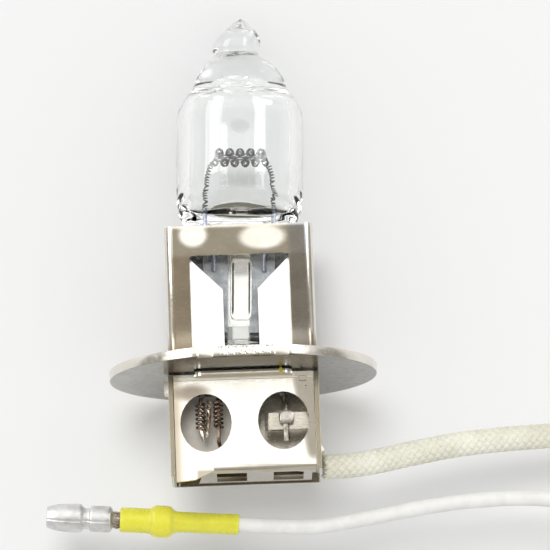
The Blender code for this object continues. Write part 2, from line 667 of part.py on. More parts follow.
twist = []
for hand in (0.0, pi):
    strand = []
    for i in range(33):
        t = i / 32
        squeeze = 1.0 - 0.45 * t
        strand.append((-2.88 - 0.28 * t * t + 0.1 * squeeze * cos(hand + 5 * pi * t),
                       -1.6 + 0.1 * squeeze * sin(hand + 5 * pi * t),
                       -2.9 - 3.0 * t))
    twist.append(strand)
splice_twist = wire("splice_twist", twist[0], 0.12, COPPER, resolution=1)
join(splice_twist, wire("second_strand", twist[1], 0.12, group=CUTTERS, resolution=1))

feed_path = smooth_path([(1.2, -0.35, -7.75), (-0.4, -0.45, -7.7), (-1.7, -0.9, -7.3),
                         (-2.16, -1.5, -6.4), (-2.16, -1.6, -5.5)], 3) + [Vector((-2.16, -1.6, -2.7))]
wire("feed_conductor", feed_path, 0.16, COPPER)
tube("feed_insulation", smooth_path([(5.75, 1.2, -8.02), (4.9, 1.1, -7.98), (3.0, 0.2, -7.85),
                                     (1.4, -0.33, -7.76), (0.2, -0.42, -7.72)], 3),
     WIRE_RADIUS, 0.3, WIRE_COAT)


# ---------------------------------------------------------------- lead, terminal and boot

lead_pivot = empty("lead_pivot", OUTLET)
tail_pivot = empty("tail_pivot", LOOP, lead_pivot)

sleeve_run = [(6.4, 1.22, -8.22), (8.2, 1.55, -8.12), (10.2, 2.0, -7.85), (13.5, 2.65, -7.15),
              (16.9, 3.2, -6.5), (20.9, 3.85, -6.02), (24.9, 4.4, -5.75), (31.0, 5.1, -5.35),
              (36.5, 5.45, -5.35)]
loop_run = [(40.4, 5.5, -5.85), (43.4, 5.5, -7.1), (45.3, 5.5, -8.9)]
hang(tube("braided_sleeve", smooth_path(sleeve_run, 3), SLEEVE_RADIUS, SLEEVE_BORE, FIBREGLASS), lead_pivot)
lead_run = smooth_path([(6.6, 1.25, -8.21)] + sleeve_run[1:] + loop_run + [(45.8, 5.5, -10.05)], 3)
hang(tube("sleeve_insulation", lead_run, WIRE_RADIUS, WIRE_BORE, WIRE_COAT, resolution=2), lead_pivot)
hang(wire("sleeve_conductor", lead_run[1:-1], CORE_RADIUS, COPPER, resolution=1), lead_pivot)

TERMINAL_AXIS = Vector((cos(TERMINAL_SLOPE), 0.0, -sin(TERMINAL_SLOPE)))


def along(distance):
    """A point on the terminal's axis, measured back from its nose."""
    return TERMINAL_START + TERMINAL_AXIS * distance


tail_run = [(45.8, 5.5, -10.75), (45.4, 5.5, -12.1), (43.6, 5.5, -13.8), (40.8, 5.5, -14.5),
            (37.2, 5.5, -14.2), (33.0, 5.5, -13.0), (29.0, 5.5, -11.75), (24.6, 5.5, -10.85),
            (20.1, 5.5, -10.74), (15.4, 5.5, -11.1), (9.8, 5.5, -11.95), (6.6, 5.5, -12.4)]
tail_line = smooth_path(tail_run, 3) + [along(21.0), along(14.0), along(8.6)]
hang(tube("tail_insulation", tail_line, WIRE_RADIUS, WIRE_BORE, WIRE_COAT, resolution=2), tail_pivot)
hang(wire("tail_conductor", tail_line[1:] + [along(5.9)], CORE_RADIUS, COPPER, resolution=1), tail_pivot)

# The terminal is a rolled bullet with a waist and a crimp tail; its frame has Z along the wire.
TERMINAL_FRAME = Matrix.Translation(TERMINAL_START * MM) @ Matrix.Rotation(pi / 2 + TERMINAL_SLOPE, 4, "Y")
bullet = turned("terminal_bullet", [
    (0.36, 8.4), (0.56, 8.4), (0.56, 5.55), (0.8, 5.45), (1.06, 5.3), (1.1, 5.1), (1.1, 3.75), (1.04, 3.62),
    (0.88, 3.5), (0.88, 3.1), (1.0, 2.98), (1.18, 2.8), (1.2, 2.3), (1.17, 1.5), (1.08, 0.75),
    (0.94, 0.25), (0.84, 0.0), (0.6, 0.0), (0.6, 2.4), (0.36, 2.9), (0.36, 8.4),
], TINNED_BRASS, steps=32, frame=TERMINAL_FRAME)
bullet.parent = tail_pivot
bullet.matrix_parent_inverse = tail_pivot.matrix_world.inverted()

boot_pivot = empty("boot_pivot", along(BOOT_FRONT), tail_pivot)
BOOT_FRAME = Matrix.Translation(along(BOOT_FRONT) * MM) @ Matrix.Rotation(pi / 2 + TERMINAL_SLOPE, 4, "Y")
boot = turned("terminal_boot", [
    (0.69, BOOT_LENGTH), (0.84, BOOT_LENGTH), (0.86, 9.7), (0.86, 5.0), (0.92, 4.5), (1.28, 4.15),
    (1.34, 3.9), (1.34, 3.0), (1.28, 2.75), (1.08, 2.55), (1.04, 2.3), (1.04, 0.15), (0.98, 0.0),
    (0.69, 0.0), (0.69, BOOT_LENGTH),
], YELLOW_VINYL, steps=28, frame=BOOT_FRAME)
boot.parent = boot_pivot
boot.matrix_parent_inverse = boot_pivot.matrix_world.inverted()

# The frame's origin is a point on the flange's face, SEAT_POINT_Y behind the lamp's axis.
for item in list(PARTS.objects) + list(CUTTERS.objects):
    if item.parent is None:
        item.location.y -= SEAT_POINT_Y * MM
bpy.context.view_layer.update()
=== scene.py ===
"""Looks of the headlight bulb: quartz, wound filament, plated sheet, braid and terminal."""
import json
from math import cos, pi, radians, sin

import bmesh
import bpy
import numpy as np
from mathutils import Matrix, Vector

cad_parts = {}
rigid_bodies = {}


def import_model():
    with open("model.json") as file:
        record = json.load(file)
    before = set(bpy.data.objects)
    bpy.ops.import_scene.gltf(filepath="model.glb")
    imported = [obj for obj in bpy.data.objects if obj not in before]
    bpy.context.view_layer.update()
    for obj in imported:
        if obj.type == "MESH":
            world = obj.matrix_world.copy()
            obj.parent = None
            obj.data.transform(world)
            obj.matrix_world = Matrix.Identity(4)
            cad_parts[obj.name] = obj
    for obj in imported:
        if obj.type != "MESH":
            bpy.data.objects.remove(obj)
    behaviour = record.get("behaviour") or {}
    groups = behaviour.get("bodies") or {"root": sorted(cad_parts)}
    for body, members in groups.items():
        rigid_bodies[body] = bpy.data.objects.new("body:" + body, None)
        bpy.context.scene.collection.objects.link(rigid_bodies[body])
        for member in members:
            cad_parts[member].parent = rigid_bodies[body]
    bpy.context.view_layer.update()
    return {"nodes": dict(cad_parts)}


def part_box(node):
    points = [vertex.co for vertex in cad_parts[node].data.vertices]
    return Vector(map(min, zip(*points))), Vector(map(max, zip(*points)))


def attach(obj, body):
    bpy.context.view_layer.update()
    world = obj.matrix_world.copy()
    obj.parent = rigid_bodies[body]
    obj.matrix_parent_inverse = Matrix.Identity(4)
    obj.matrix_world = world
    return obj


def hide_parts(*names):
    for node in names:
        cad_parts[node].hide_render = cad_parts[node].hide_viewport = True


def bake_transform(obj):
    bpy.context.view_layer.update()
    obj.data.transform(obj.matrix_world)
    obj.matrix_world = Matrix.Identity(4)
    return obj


for old in list(bpy.data.objects):
    bpy.data.objects.remove(old, do_unlink=True)

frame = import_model()
NODES = frame["nodes"]
MM = 0.001

# Shapes are written in millimetres from the centre of the flange's upper face.
FLANGE_LOW, FLANGE_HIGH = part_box("flange_disc")
FLANGE_RADIUS = (FLANGE_HIGH.x - FLANGE_LOW.x) / 2
CENTRE = Vector(((FLANGE_LOW.x + FLANGE_HIGH.x) / 2, FLANGE_HIGH.y - FLANGE_RADIUS, FLANGE_HIGH.z))
# The capsule leans this much about a point at this height.
TILT = radians(2.3)
PIVOT_Z = 9.5


# ---------------------------------------------------------------- mesh helpers

def to_frame(points):
    """Millimetres from the flange's centre, in the row frame's metres."""
    return np.asarray(points, float) * MM + np.array(CENTRE)


def piece(name, verts, faces, mat):
    """A smooth mesh in the row frame from points in millimetres."""
    mesh = bpy.data.meshes.new(name)
    mesh.from_pydata([tuple(v) for v in to_frame(verts)], [], [tuple(f) for f in faces])
    bm = bmesh.new()
    bm.from_mesh(mesh)
    bmesh.ops.recalc_face_normals(bm, faces=bm.faces)
    bm.to_mesh(mesh)
    bm.free()
    for poly in mesh.polygons:
        poly.use_smooth = True
    mesh.update()
    obj = bpy.data.objects.new(name, mesh)
    bpy.context.scene.collection.objects.link(obj)
    mesh.materials.append(mat)
    return obj


def lean(points):
    """Points of the upright capsule, tilted with it."""
    p = np.asarray(points, float).copy()
    x, z = p[:, 0].copy(), p[:, 2] - PIVOT_Z
    p[:, 0] = x * cos(TILT) + z * sin(TILT)
    p[:, 2] = PIVOT_Z - x * sin(TILT) + z * cos(TILT)
    return p


def smooth_path(points, per_span=8):
    """A Catmull-Rom curve through the points."""
    points = [Vector(p) for p in points]
    ends = [2 * points[0] - points[1], *points, 2 * points[-1] - points[-2]]
    path = []
    for a, b, c, d in zip(ends, ends[1:], ends[2:], ends[3:]):
        for i in range(per_span):
            t = i / per_span
            path.append(0.5 * (2 * b + (c - a) * t + (2 * a - 5 * b + 4 * c - d) * t ** 2
                               + (3 * b - a - 3 * c + d) * t ** 3))
    path.append(points[-1])
    return np.array([tuple(p) for p in path])


def resample(path, step):
    """Evenly spaced points along a path, and how far along it each lies."""
    seg = np.linalg.norm(np.diff(path, axis=0), axis=1)
    s = np.concatenate([[0], np.cumsum(seg)])
    n = max(2, int(round(s[-1] / step)) + 1)
    t = np.linspace(0, s[-1], n)
    return np.stack([np.interp(t, s, path[:, k]) for k in range(3)], 1), t


def frames(path):
    """Tangent, normal and binormal carried along a path without twist."""
    tangent = np.gradient(path, axis=0)
    tangent /= np.linalg.norm(tangent, axis=1)[:, None]
    up = np.array([0.0, 1.0, 0.0]) if abs(tangent[0][1]) < 0.9 else np.array([0.0, 0.0, 1.0])
    n = up - tangent[0] * (up @ tangent[0])
    n /= np.linalg.norm(n)
    normals = [n]
    for k in range(1, len(path)):
        n = normals[-1] - tangent[k] * (normals[-1] @ tangent[k])
        normals.append(n / np.linalg.norm(n))
    normals = np.array(normals)
    return tangent, normals, np.cross(tangent, normals)


def sweep(path, radius, sides, flat=None):
    """A closed skin round a path. flat=(normals, squash) makes a yarn that lies on a surface."""
    tangent, n, b = frames(path)
    r = np.broadcast_to(np.asarray(radius, float), (len(path),))
    thin = 1.0
    if flat is not None:
        n, thin = flat
        n = n - tangent * np.sum(n * tangent, 1)[:, None]
        n /= np.linalg.norm(n, axis=1)[:, None]
        b = np.cross(tangent, n)
    a = np.arange(sides) * 2 * pi / sides
    rings = (path[:, None, :] + (r * thin)[:, None, None] * np.cos(a)[None, :, None] * n[:, None, :]
             + r[:, None, None] * np.sin(a)[None, :, None] * b[:, None, :])
    return skin(rings)


def skin(rings):
    """Quads between equal rings, with both ends closed."""
    count, sides = rings.shape[:2]
    faces = []
    for i in range(count - 1):
        for j in range(sides):
            k = (j + 1) % sides
            faces.append((i * sides + j, i * sides + k, (i + 1) * sides + k, (i + 1) * sides + j))
    faces.append(tuple(range(sides))[::-1])
    faces.append(tuple(range((count - 1) * sides, count * sides)))
    return rings.reshape(-1, 3), faces


def gather(parts):
    """Several skins as one mesh."""
    verts, faces, base = [], [], 0
    for v, f in parts:
        verts.append(v)
        faces += [tuple(i + base for i in face) for face in f]
        base += len(v)
    return np.concatenate(verts), faces


def turned(profile, start, axis, sides, warp):
    """A closed (radius, distance) profile turned about an axis, each point moved a little by warp."""
    axis = np.array(Vector(axis).normalized())
    u = np.cross(axis, [0.0, 1.0, 0.0])
    u /= np.linalg.norm(u)
    w = np.cross(axis, u)
    a = np.arange(sides) * 2 * pi / sides
    verts, m = [], len(profile)
    for r, d in profile:
        for angle in a:
            rr, dd = warp(r, d, angle)
            verts.append(np.array(start) + axis * dd + rr * (cos(angle) * u + sin(angle) * w))
    faces = [(i * sides + j, i * sides + (j + 1) % sides,
              ((i + 1) % m) * sides + (j + 1) % sides, ((i + 1) % m) * sides + j)
             for i in range(m) for j in range(sides)]
    return np.array(verts), faces


# ---------------------------------------------------------------- materials

class Nodes:
    """A small builder round the node tree of a material, a light or the world."""

    def __init__(self, tree):
        self.tree = tree

    def new(self, kind, **settings):
        node = self.tree.nodes.new(kind)
        for key, value in settings.items():
            setattr(node, key, value)
        return node

    def link(self, a, b):
        self.tree.links.new(a, b)

    def remap(self, value, a, b, c=0.0, d=1.0):
        node = self.new("ShaderNodeMapRange")
        node.interpolation_type = "SMOOTHSTEP"
        for key, v in zip(("From Min", "From Max", "To Min", "To Max"), (a, b, c, d)):
            node.inputs[key].default_value = v
        self.link(value, node.inputs["Value"])
        return node.outputs["Result"]

    def maths(self, operation, a, b):
        node = self.new("ShaderNodeMath", operation=operation)
        for i, v in enumerate((a, b)):
            if isinstance(v, (int, float)):
                node.inputs[i].default_value = v
            else:
                self.link(v, node.inputs[i])
        return node.outputs[0]

    def mix(self, factor, a, b):
        node = self.new("ShaderNodeMix", data_type="RGBA")
        self.link(factor, node.inputs[0])
        for i, v in ((6, a), (7, b)):
            if isinstance(v, tuple):
                node.inputs[i].default_value = (*v, 1.0)
            else:
                self.link(v, node.inputs[i])
        return node.outputs[2]

    def inverse(self, value):
        return self.maths("SUBTRACT", 1.0, value)

    def times(self, *values):
        total = values[0]
        for v in values[1:]:
            total = self.maths("MULTIPLY", total, v)
        return total


class Mat(Nodes):
    """A material with texture coordinates in millimetres from the flange's centre."""

    def __init__(self, name):
        self.mat = bpy.data.materials.new(name)
        self.mat.use_nodes = True
        super().__init__(self.mat.node_tree)
        self.bsdf = self.tree.nodes["Principled BSDF"]
        self.out = self.tree.nodes["Material Output"]
        coords = self.new("ShaderNodeTexCoord")
        place = self.new("ShaderNodeMapping")
        place.inputs["Location"].default_value = tuple(-c / MM for c in CENTRE)
        place.inputs["Scale"].default_value = (1 / MM,) * 3
        self.link(coords.outputs["Object"], place.inputs["Vector"])
        self.position = place.outputs["Vector"]

    def stretched(self, scale):
        node = self.new("ShaderNodeMapping")
        node.inputs["Scale"].default_value = scale
        self.link(self.position, node.inputs["Vector"])
        return node.outputs["Vector"]

    def noise(self, scale, detail, vector=None):
        node = self.new("ShaderNodeTexNoise")
        node.inputs["Scale"].default_value = scale
        node.inputs["Detail"].default_value = detail
        node.inputs["Roughness"].default_value = 0.5
        self.link(vector or self.position, node.inputs["Vector"])
        return node.outputs["Fac"]

    def bump(self, height, strength, distance_mm, normal=None):
        node = self.new("ShaderNodeBump")
        node.inputs["Strength"].default_value = strength
        node.inputs["Distance"].default_value = distance_mm * MM
        self.link(height, node.inputs["Height"])
        if normal is not None:
            self.link(normal, node.inputs["Normal"])
        return node.outputs["Normal"]

    def axis(self, name):
        node = self.new("ShaderNodeSeparateXYZ")
        self.link(self.position, node.inputs[0])
        return node.outputs[name]

    def region(self, soft=0.2, **spans):
        """1 inside the given spans of x, y or z, fading out over a soft border."""
        share = None
        for name, (low, high) in spans.items():
            value = self.axis(name.upper())
            for edge, sign in ((low, 1), (high, -1)):
                if edge is not None:
                    part = self.remap(value, edge - sign * soft, edge + sign * soft)
                    share = part if share is None else self.maths("MULTIPLY", share, part)
        return share

    def patch(self, x, z, wide, tall, core=0.4, rim=1.4):
        """1 in the middle of an ellipse in the X-Z plane, fading to 0 at its rim."""
        dx = self.maths("MULTIPLY", self.maths("SUBTRACT", self.axis("X"), x), 1 / wide)
        dz = self.maths("MULTIPLY", self.maths("SUBTRACT", self.axis("Z"), z), 1 / tall)
        far = self.maths("ADD", self.maths("MULTIPLY", dx, dx), self.maths("MULTIPLY", dz, dz))
        return self.remap(far, core, rim, 1.0, 0.0)

    def shade(self, share, colour):
        """Multiplies the base colour by another where share is 1."""
        source = self.bsdf.inputs["Base Color"].links[0].from_socket
        node = self.new("ShaderNodeMix", data_type="RGBA", blend_type="MULTIPLY")
        self.link(share, node.inputs[0])
        self.link(source, node.inputs[6])
        node.inputs[7].default_value = (*colour, 1.0)
        self.link(node.outputs[2], self.bsdf.inputs["Base Color"])
        return self

    def set(self, **values):
        for key, v in values.items():
            socket = self.bsdf.inputs[key.replace("_", " ")]
            if isinstance(v, tuple):
                socket.default_value = (*v, 1.0)
            elif isinstance(v, (int, float)):
                socket.default_value = v
            else:
                self.link(v, socket)
        return self


def sheet_metal(name, bright, dull, rough, grain=(1.0, 1.0, 14.0), depth=0.004, bow=None, metallic=1.0,
                waves=0.35, under=None):
    """Plated sheet. bow(m) gives how far the face looks up (+) or down (-) at each place. under, if given, is
    painted shade for faces that look down.
    """
    m = Mat(name)
    cloud = m.remap(m.noise(0.45, 3.0), 0.35, 0.65)
    grains = m.noise(2.2, 5.0, m.stretched(grain))
    pits = m.remap(m.noise(9.0, 2.0), 0.62, 0.74)
    m.set(Base_Color=m.mix(cloud, bright, dull), Metallic=metallic,
          Roughness=m.maths("ADD", m.remap(grains, 0.3, 0.7, rough * 0.7, rough * 1.35),
                            m.maths("MULTIPLY", pits, 0.12)))
    normal = None
    if bow is not None:
        geometry = m.new("ShaderNodeNewGeometry")
        vector = m.new("ShaderNodeCombineXYZ")
        m.link(bow(m), vector.inputs["Z"])
        add = m.new("ShaderNodeVectorMath", operation="ADD")
        m.link(geometry.outputs["Normal"], add.inputs[0])
        m.link(vector.outputs[0], add.inputs[1])
        unit = m.new("ShaderNodeVectorMath", operation="NORMALIZE")
        m.link(add.outputs[0], unit.inputs[0])
        normal = unit.outputs[0]
    wave = m.bump(m.noise(0.35, 1.0), waves, 0.06, normal)
    # Faces that look down get painted shade: their colour fades to the given underside colour.
    if under is not None:
        facing = m.new("ShaderNodeNewGeometry")
        part = m.new("ShaderNodeSeparateXYZ")
        m.link(facing.outputs["Normal"], part.inputs[0])
        down = m.remap(part.outputs["Z"], -0.4, -0.8)
        painted_underside = m.mix(cloud, under, tuple(c * 0.9 for c in under))
        m.set(Base_Color=m.mix(down, m.mix(cloud, bright, dull), painted_underside))
    m.set(Normal=m.bump(grains, 0.5, depth, wave))
    return m


def holder_bow(m):
    """The pressed face looks down, but for its top edge and two dents beside the tongue."""
    down = m.times(m.remap(m.axis("Z"), 11.1, 11.6, -0.27, 0.0),
                   m.inverse(m.patch(-3.75, 10.75, 1.4, 1.2, 0.1, 1.3)),
                   m.inverse(m.patch(1.95, 10.45, 2.3, 1.25, 0.1, 1.3)))
    return down


def cover_bow(m):
    """The wall bends back under the flange and rolls off towards its right edge."""
    slant = m.maths("ADD", m.axis("X"), m.maths("MULTIPLY", m.axis("Z"), 0.171))
    right = m.times(m.remap(slant, 3.3, 4.1, 0.0, -0.155), m.remap(m.axis("Z"), -8.7, -7.6))
    top = m.remap(m.axis("Z"), -2.75, -2.2, 0.0, -0.055)
    return m.maths("MINIMUM", right, top)


def quartz():
    m = Mat("quartz")
    m.set(Base_Color=(0.962, 0.970, 0.967), Transmission_Weight=1.0, IOR=1.46,
          Roughness=m.remap(m.noise(1.6, 3.0), 0.4, 0.7, 0.0, 0.03),
          Normal=m.bump(m.noise(0.5, 2.0), 0.12, 0.05))
    clear = m.new("ShaderNodeBsdfTransparent")
    clear.inputs["Color"].default_value = (0.985, 0.99, 0.99, 1.0)
    rays = m.new("ShaderNodeLightPath")
    mix = m.new("ShaderNodeMixShader")
    deep = m.maths("GREATER_THAN", rays.outputs["Ray Depth"], 5.5)
    m.link(m.maths("MAXIMUM", rays.outputs["Is Shadow Ray"], deep), mix.inputs[0])
    m.link(m.bsdf.outputs[0], mix.inputs[1])
    m.link(clear.outputs[0], mix.inputs[2])
    m.link(mix.outputs[0], m.out.inputs["Surface"])
    return m.mat


def wire_metal(name, bright, dull, rough, scale=6.0, depth=0.01):
    m = Mat(name)
    n = m.noise(scale, 4.0)
    m.set(Base_Color=m.mix(m.remap(m.noise(1.3, 3.0), 0.35, 0.65), bright, dull), Metallic=1.0,
          Roughness=m.remap(n, 0.3, 0.7, rough * 0.75, rough * 1.3), Normal=m.bump(n, 0.5, depth))
    return m.mat


def cloth(name, light, dark, rough=0.75):
    m = Mat(name)
    fibre = m.noise(3.0, 5.0, m.stretched((1.0, 2.5, 2.5)))
    patch = m.noise(0.35, 2.0)
    uneven = m.maths("ADD", m.maths("MULTIPLY", fibre, 0.4), m.maths("MULTIPLY", patch, 0.6))
    m.set(Base_Color=m.mix(m.remap(uneven, 0.35, 0.65), dark, light),
          Roughness=m.remap(fibre, 0.3, 0.7, rough * 0.85, rough * 1.1),
          Sheen_Weight=0.2, Normal=m.bump(fibre, 0.35, 0.02))
    return m.mat


def vinyl(name, light, dark, rough, soft=0.0):
    m = Mat(name)
    n = m.noise(1.1, 4.0)
    m.set(Base_Color=m.mix(m.remap(n, 0.35, 0.65), dark, light),
          Roughness=m.remap(m.noise(4.0, 3.0), 0.3, 0.7, rough * 0.8, rough * 1.3),
          Subsurface_Weight=soft, Normal=m.bump(m.noise(1.4, 3.0), 0.18, 0.02))
    m.bsdf.inputs["Subsurface Radius"].default_value = (1.0, 0.9, 0.25)
    m.bsdf.inputs["Subsurface Scale"].default_value = 0.6 * MM
    return m.mat


def card():
    m = Mat("mica")
    flakes = m.new("ShaderNodeTexVoronoi")
    flakes.inputs["Scale"].default_value = 1.4
    m.link(m.position, flakes.inputs["Vector"])
    m.set(Base_Color=m.mix(flakes.outputs["Distance"], (0.60, 0.56, 0.50), (0.72, 0.68, 0.61)),
          Roughness=m.remap(m.noise(2.0, 3.0), 0.3, 0.7, 0.28, 0.45), Specular_IOR_Level=0.6,
          Normal=m.bump(flakes.outputs["Distance"], 0.3, 0.01))
    return m.mat


QUARTZ = quartz()
TUNGSTEN = wire_metal("tungsten", (0.15, 0.145, 0.15), (0.08, 0.075, 0.08), 0.36)
MOLY = wire_metal("molybdenum", (0.50, 0.53, 0.60), (0.36, 0.39, 0.47), 0.32, 3.0)
FOIL = wire_metal("molybdenum_foil", (0.40, 0.42, 0.44), (0.30, 0.32, 0.34), 0.34, 2.0, 0.02)
HOLDER = sheet_metal("plated_holder", (0.82, 0.78, 0.70), (0.74, 0.69, 0.61), 0.17, bow=holder_bow,
                     waves=0.25)
# Painted light: its right edge is tinted for the cooler wall it reflects, its legs get painted shade and its
# foot gets painted shade from the flange.
HOLDER.shade(HOLDER.region(0.3, x=(4.1, 5.7)), (0.72, 0.77, 0.88))
HOLDER.shade(HOLDER.region(0.3, x=(-5.7, 5.7), z=(None, 9.0)), (0.76, 0.72, 0.67))
HOLDER.shade(HOLDER.times(HOLDER.region(0.9, z=(None, 1.8)), HOLDER.region(0.2, y=(None, -2.3))),
             (0.50, 0.47, 0.42))
REAR = sheet_metal("plated_holder_rear", (0.90, 0.89, 0.87), (0.82, 0.81, 0.78), 0.2, waves=0.1)
# Heat has browned the tongue inside its bright rim.
REAR.shade(REAR.times(REAR.region(0.2, z=(11.7, None)), REAR.patch(0.0, 12.05, 2.6, 2.23, 0.70, 0.80)),
           (0.13, 0.105, 0.045))
# Its underside gets painted shade.
FLANGE = sheet_metal("plated_flange", (0.80, 0.77, 0.71), (0.73, 0.69, 0.62), 0.2, (1.0, 1.0, 1.0), 0.006,
                     under=(0.34, 0.335, 0.315))
COVER = sheet_metal("plated_cover", (0.90, 0.87, 0.80), (0.85, 0.81, 0.73), 0.13, waves=0.08, bow=cover_bow)
# Painted shade: a dark patch at its top left, a darker strip along its left edge, and its floor flap.
COVER.shade(COVER.patch(-4.2, -2.45, 1.5, 0.75, 0.0, 1.6), (0.36, 0.32, 0.28))
COVER.shade(COVER.region(0.45, x=(None, -5.25)), (0.62, 0.56, 0.48))
COVER.shade(COVER.region(0.12, x=(-4.0, None), z=(None, -8.85)), (0.55, 0.52, 0.47))
# The housing is darker along its front edges, and the bottom of the box inside gets painted shade.
HOUSING = sheet_metal("plated_housing", (0.84, 0.80, 0.72), (0.76, 0.71, 0.62), 0.2, waves=0.2, metallic=0.75)
HOUSING.shade(HOUSING.region(0.05, y=(None, -2.9)), (0.38, 0.355, 0.29))
BOX_INSIDE_SHADE = HOUSING.times(HOUSING.region(0.06, x=(-5.96, 5.96), y=(-2.7, 2.9)),
                       HOUSING.region(0.3, z=(None, -7.9)))
HOUSING.shade(BOX_INSIDE_SHADE, (0.34, 0.31, 0.27))
STRAP = sheet_metal("plated_strap", (0.66, 0.62, 0.54), (0.52, 0.48, 0.41), 0.24, waves=0.3, metallic=0.85)
SPRING = sheet_metal("spring_strip", (0.93, 0.93, 0.92), (0.88, 0.88, 0.87), 0.18, (14.0, 1.0, 1.0),
                     waves=0.04)
# The clamp's rear wall lies in shade but for the middle, where the glass shows it clear.
CLEARED = SPRING.times(SPRING.region(0.12, x=(-0.75, 0.6), z=(None, 4.2)), 0.55)
SPRING.shade(SPRING.times(SPRING.region(0.4, y=(-0.2, None)), SPRING.inverse(CLEARED)), (0.25, 0.257, 0.26))
COPPER = wire_metal("darkened_copper", (0.32, 0.235, 0.18), (0.11, 0.08, 0.062), 0.26)
TWIST = wire_metal("bared_strands", (0.62, 0.56, 0.48), (0.36, 0.27, 0.20), 0.3)
BROWNED = wire_metal("browned_wire", (0.46, 0.43, 0.38), (0.22, 0.20, 0.17), 0.28)
WELD = wire_metal("weld_metal", (0.66, 0.63, 0.58), (0.46, 0.42, 0.37), 0.34, 4.0, 0.05)
BRAID = cloth("glass_fibre", (0.87, 0.86, 0.74), (0.70, 0.68, 0.55))
COAT = vinyl("wire_coat", (0.87, 0.865, 0.84), (0.82, 0.81, 0.78), 0.45)
TIN = wire_metal("tinned_brass", (0.73, 0.73, 0.725), (0.63, 0.63, 0.63), 0.5, 1.6, 0.015)
YELLOW = vinyl("yellow_vinyl", (0.84, 0.80, 0.075), (0.80, 0.75, 0.06), 0.28, 0.35)
MICA = card()


# ---------------------------------------------------------------- CAD nodes that stay

SAME_SPOT = 2e-6            # corners of neighbouring faces closer than this, in metres, are one corner
LARGEST_CURVED = 2e-6       # no face of a rounded area is larger than this, in square metres


def curved_faces(mesh):
    """Which faces are in a rounded area: small, and turned by 1 to 35 degrees from a neighbour."""
    place_of = {}
    spot = [place_of.setdefault(tuple(round(c / SAME_SPOT) for c in v.co), len(place_of))
            for v in mesh.vertices]
    sharers = {}
    for face in mesh.polygons:
        corners = [spot[i] for i in face.vertices]
        for i, j in zip(corners, corners[1:] + corners[:1]):
            sharers.setdefault((min(i, j), max(i, j)), []).append(face.index)
    bent = [False] * len(mesh.polygons)
    for faces in sharers.values():
        for i in faces:
            for j in faces:
                if i < j:
                    turn = mesh.polygons[i].normal.angle(mesh.polygons[j].normal, 0.0)
                    if radians(1) < turn < radians(35):
                        bent[i] = bent[j] = True
    return [b and face.area < LARGEST_CURVED for b, face in zip(bent, mesh.polygons)]


def dress(name, mat, edge):
    """A CAD node with its own material and, where edge isn't 0, edges rounded by that many millimetres."""
    obj = NODES[name]
    obj.data.materials.clear()
    obj.data.materials.append(mat.mat if isinstance(mat, Mat) else mat)
    # Flat sheet keeps one normal; only rolled areas are shaded as round.
    for poly, bent in zip(obj.data.polygons, curved_faces(obj.data)):
        poly.material_index = 0
        poly.use_smooth = bent
    weld = obj.modifiers.new("Weld", "WELD")
    weld.merge_threshold = SAME_SPOT
    if edge:
        bevel = obj.modifiers.new("Edge", "BEVEL")
        bevel.width = edge * MM
        bevel.segments = 2
        bevel.limit_method = "ANGLE"
        bevel.angle_limit = radians(40)
        bevel.harden_normals = False
    split = obj.modifiers.new("Split", "EDGE_SPLIT")
    split.split_angle = radians(35)


for name, mat, edge in (("holder_front", HOLDER, 0.1), ("holder_rear", REAR, 0.08),
                        ("pinch_clamp", SPRING, 0.06), ("flange_disc", FLANGE, 0.0),
                        ("base_cover", COVER, 0.07), ("base_housing", HOUSING, 0.07),
                        ("ground_strap", STRAP, 0.05), ("insulator_card", MICA, 0.03),
                        ("foil_left", FOIL, 0.0), ("foil_right", FOIL, 0.0),
                        ("inner_lead_left", MOLY, 0.0), ("inner_lead_right", MOLY, 0.0),
                        ("outer_lead_live", BROWNED, 0.0), ("outer_lead_ground", BROWNED, 0.0),
                        ("splice_twist", TWIST, 0.0), ("feed_conductor", COPPER, 0.0),
                        ("feed_insulation", COAT, 0.0)):
    dress(name, mat, edge)


# ---------------------------------------------------------------- quartz capsule

# Height, half width, half depth and roundness (2 is an ellipse) of the quartz and of its cavity.
OUTER = [(2.15, 4.25, 1.05, 7), (2.4, 4.35, 1.2, 7), (11.2, 4.35, 1.2, 7), (11.75, 4.55, 1.45, 4.2),
         (12.5, 4.85, 2.2, 3.2), (13.3, 5.1, 3.2, 2.6), (14.1, 5.2, 4.15, 2.3), (14.9, 5.25, 4.85, 2.1),
         (15.6, 5.25, 5.25, 2), (20.5, 5.25, 5.25, 2), (21.5, 5.17, 5.17, 2), (22.3, 4.84, 4.84, 2),
         (23.0, 4.38, 4.38, 2), (23.6, 3.98, 3.98, 2), (24.1, 3.78, 3.78, 2), (24.6, 3.6, 3.6, 2),
         (25.1, 3.3, 3.3, 2), (25.65, 2.86, 2.86, 2), (26.1, 2.4, 2.4, 2), (26.35, 2.12, 2.12, 2),
         (26.5, 1.86, 1.86, 2), (26.65, 1.84, 1.84, 2), (26.95, 1.97, 1.97, 2), (27.6, 1.93, 1.93, 2),
         (28.1, 1.7, 1.7, 2), (28.6, 1.3, 1.3, 2), (29.1, 0.84, 0.84, 2), (29.5, 0.42, 0.42, 2),
         (29.7, 0.14, 0.14, 2)]
INNER = [(13.35, 3.5, 0.4, 2.4), (13.6, 3.8, 1.2, 2.4), (14.1, 4.0, 2.3, 2.2), (14.8, 4.1, 3.3, 2.1),
         (15.8, 4.15, 4.15, 2), (21.0, 4.15, 4.15, 2), (21.9, 4.0, 4.0, 2), (22.5, 3.65, 3.65, 2),
         (22.85, 3.1, 3.1, 2), (22.95, 2.4, 2.4, 2), (23.0, 1.8, 1.8, 2), (23.2, 1.55, 1.55, 2),
         (23.6, 1.35, 1.35, 2), (23.9, 1.0, 1.0, 2), (24.1, 0.5, 0.5, 2), (24.15, 0.2, 0.2, 2)]


# Heights between which the glass needs finer rows.
SHOULDERS = (13.6, 18.0)
SEAL = (2.4, 11.2)


